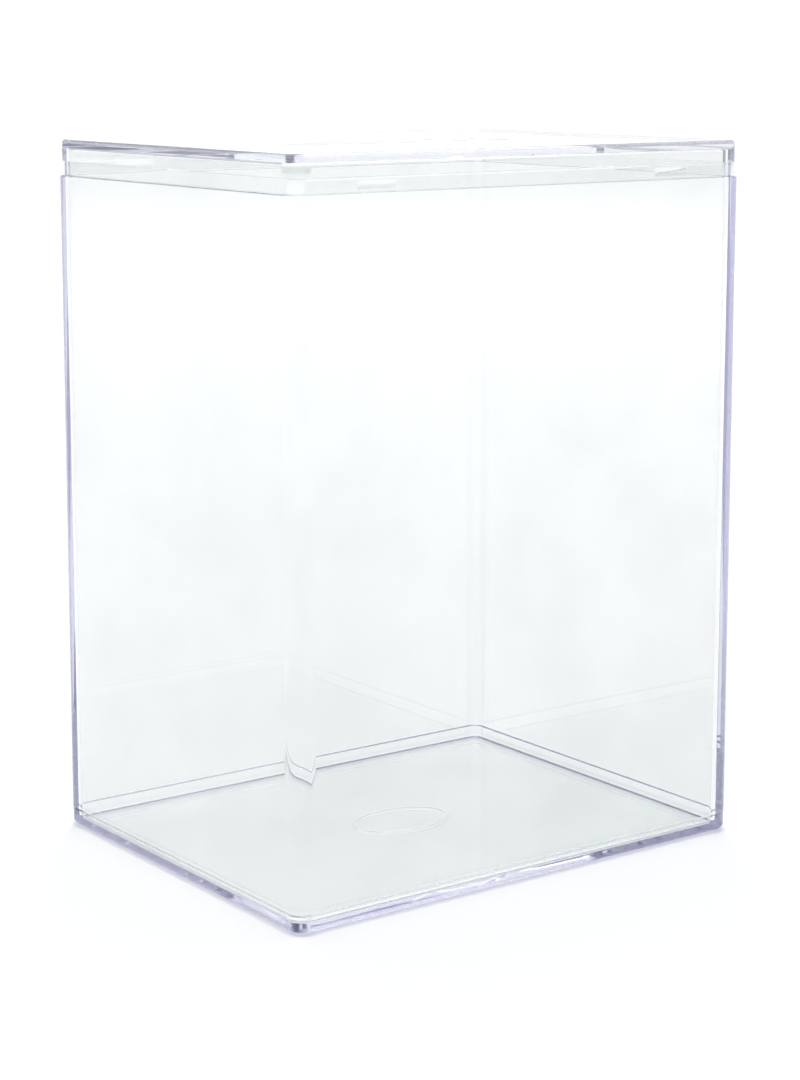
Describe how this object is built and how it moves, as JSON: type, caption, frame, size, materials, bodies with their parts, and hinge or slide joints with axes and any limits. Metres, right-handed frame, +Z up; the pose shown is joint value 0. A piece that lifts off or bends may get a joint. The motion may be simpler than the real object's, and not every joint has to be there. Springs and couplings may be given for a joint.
{
  "type": "card deck box",
  "caption": "Clear rectangular deck box for trading cards: a deep thin-walled tub closed by a shallow lift-off lid on a half-lap rim.",
  "frame": {"origin": "centre of the underside, where the box stands", "axes": "+Z up through the lid, the way the lid lifts off; +X along the wide faces; +Y along the narrow faces"},
  "size_m": [0.0724, 0.0574, 0.095],
  "materials": {
    "tub_polystyrene": "clear, polished mould",
    "lid_polystyrene": "clear, polished mould"
  },
  "bodies": {
    "tub": {"tub": "tub_polystyrene"},
    "lid": {"lid": "lid_polystyrene"}
  },
  "joints": [
    {"name": "lid_lift", "type": "slide", "parent": "tub", "child": "lid", "axis": [0, 0, 1], "range_m": [0, 0.06]}
  ]
}
